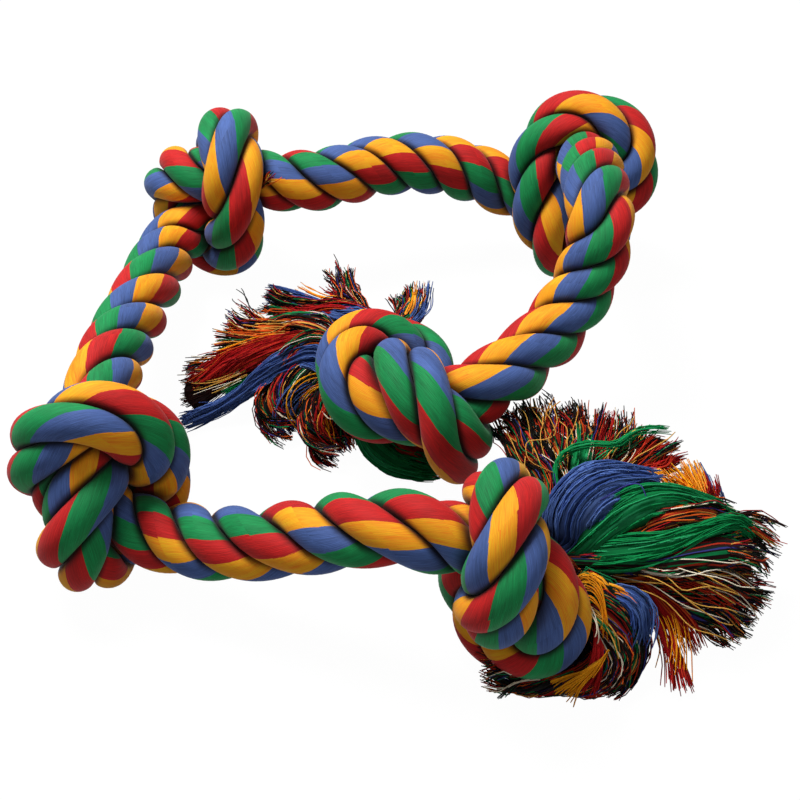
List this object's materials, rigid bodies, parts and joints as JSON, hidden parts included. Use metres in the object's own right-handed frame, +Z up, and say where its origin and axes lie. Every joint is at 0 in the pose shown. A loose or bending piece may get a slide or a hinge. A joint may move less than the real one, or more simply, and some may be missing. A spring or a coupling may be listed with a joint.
{
  "type": "rope dog toy",
  "caption": "Thick laid cotton rope in four colours, laid out in a ring, with big overhand knots along it and both ends frayed into bushy tassels.",
  "frame": {"origin": "on the table, under the middle of the toy's bounding box", "axes": "+Z up; the toy lies on the XY plane as the picture shows it, with the front knot and its tassel toward -Y and the first tassel in the middle"},
  "size_m": [0.3147, 0.3259, 0.1047],
  "materials": {
    "four_colour_strand": "matt laid cotton strand of blue, green, red and yellow yarn",
    "blue_yarn": "matt cotton yarn",
    "green_yarn": "matt cotton yarn",
    "red_yarn": "matt cotton yarn",
    "yellow_yarn": "matt cotton yarn",
    "mixed_core_yarn": "matt mixed cotton yarn, mostly dark, with bright ends"
  },
  "bodies": {
    "root": {"fray_1_centre_strand_a_blue_yarns": "blue_yarn", "fray_1_centre_strand_a_core_yarns": "mixed_core_yarn", "fray_1_centre_strand_a_green_yarns": "green_yarn", "fray_1_centre_strand_a_red_yarns": "red_yarn", "fray_1_centre_strand_a_yellow_yarns": "yellow_yarn", "fray_1_centre_strand_b_blue_yarns": "blue_yarn", "fray_1_centre_strand_b_core_yarns": "mixed_core_yarn", "fray_1_centre_strand_b_green_yarns": "green_yarn", "fray_1_centre_strand_b_red_yarns": "red_yarn", "fray_1_centre_strand_b_yellow_yarns": "yellow_yarn", "fray_1_centre_strand_c_blue_yarns": "blue_yarn", "fray_1_centre_strand_c_core_yarns": "mixed_core_yarn", "fray_1_centre_strand_c_green_yarns": "green_yarn", "fray_1_centre_strand_c_red_yarns": "red_yarn", "fray_1_centre_strand_c_yellow_yarns": "yellow_yarn", "fray_2_front_strand_a_blue_yarns": "blue_yarn", "fray_2_front_strand_a_core_yarns": "mixed_core_yarn", "fray_2_front_strand_a_green_yarns": "green_yarn", "fray_2_front_strand_a_red_yarns": "red_yarn", "fray_2_front_strand_a_yellow_yarns": "yellow_yarn", "fray_2_front_strand_b_blue_yarns": "blue_yarn", "fray_2_front_strand_b_core_yarns": "mixed_core_yarn", "fray_2_front_strand_b_green_yarns": "green_yarn", "fray_2_front_strand_b_red_yarns": "red_yarn", "fray_2_front_strand_b_yellow_yarns": "yellow_yarn", "fray_2_front_strand_c_blue_yarns": "blue_yarn", "fray_2_front_strand_c_core_yarns": "mixed_core_yarn", "fray_2_front_strand_c_green_yarns": "green_yarn", "fray_2_front_strand_c_red_yarns": "red_yarn", "fray_2_front_strand_c_yellow_yarns": "yellow_yarn", "knot_1_centre_strand_a": "four_colour_strand", "knot_1_centre_strand_b": "four_colour_strand", "knot_1_centre_strand_c": "four_colour_strand", "knot_2_right_strand_a": "four_colour_strand", "knot_2_right_strand_b": "four_colour_strand", "knot_2_right_strand_c": "four_colour_strand", "knot_3_back_strand_a": "four_colour_strand", "knot_3_back_strand_b": "four_colour_strand", "knot_3_back_strand_c": "four_colour_strand", "knot_4_left_strand_a": "four_colour_strand", "knot_4_left_strand_b": "four_colour_strand", "knot_4_left_strand_c": "four_colour_strand", "knot_5_front_strand_a": "four_colour_strand", "knot_5_front_strand_b": "four_colour_strand", "knot_5_front_strand_c": "four_colour_strand", "stretch_1_strand_a": "four_colour_strand", "stretch_1_strand_b": "four_colour_strand", "stretch_1_strand_c": "four_colour_strand", "stretch_2_strand_a": "four_colour_strand", "stretch_2_strand_b": "four_colour_strand", "stretch_2_strand_c": "four_colour_strand", "stretch_3_strand_a": "four_colour_strand", "stretch_3_strand_b": "four_colour_strand", "stretch_3_strand_c": "four_colour_strand", "stretch_4_strand_a": "four_colour_strand", "stretch_4_strand_b": "four_colour_strand", "stretch_4_strand_c": "four_colour_strand"}
  },
  "joints": []
}
